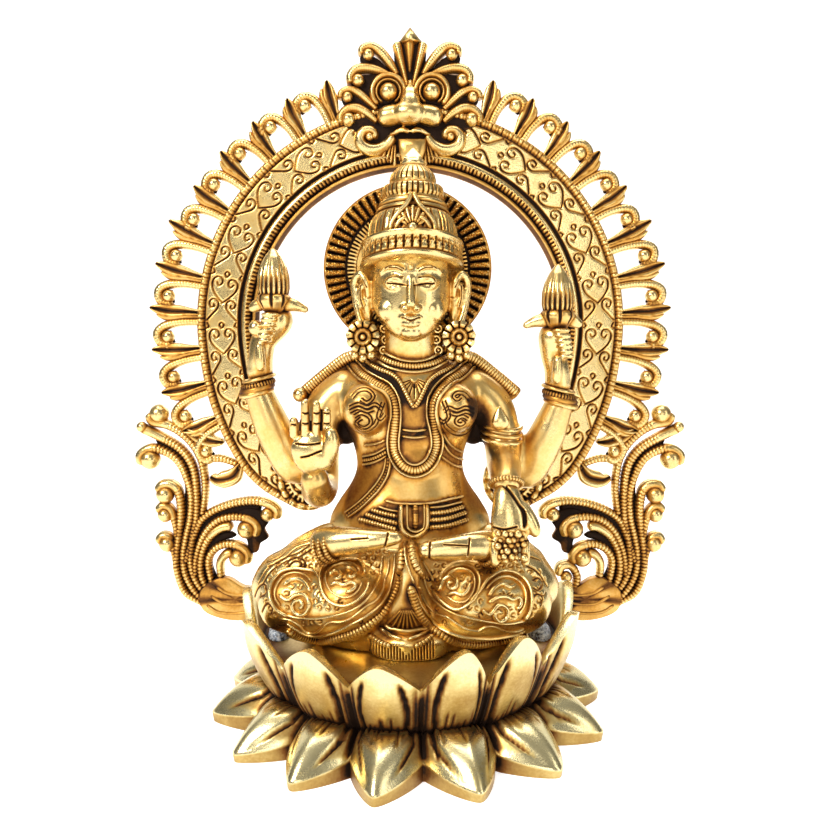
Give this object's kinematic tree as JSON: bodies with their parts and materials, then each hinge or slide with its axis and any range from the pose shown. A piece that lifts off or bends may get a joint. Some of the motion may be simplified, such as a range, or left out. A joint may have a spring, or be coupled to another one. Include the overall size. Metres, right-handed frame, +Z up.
{
  "type": "lakshmi figure on a lotus plinth with an arch frame",
  "caption": "Seated four-armed lakshmi in cast brass on a lotus plinth, with a ring-shaped arch frame of foliage behind it.",
  "frame": {"origin": "centre of the plinth's underside, on the surface it stands on", "axes": "+Z up, the figure faces -Y, +X to a viewer's right"},
  "size_m": [0.2596, 0.1704, 0.3029],
  "materials": {
    "brass": "polished high parts with a dark brown patina in the recesses",
    "plinth_brass": "pale polished petals with brown patina between them",
    "solder": "rough, speckled grey solder"
  },
  "bodies": {
    "root": {"lotus_base": "plinth_brass", "figure": "brass", "arch": "brass", "solder_left": "solder", "solder_right": "solder"}
  },
  "joints": []
}
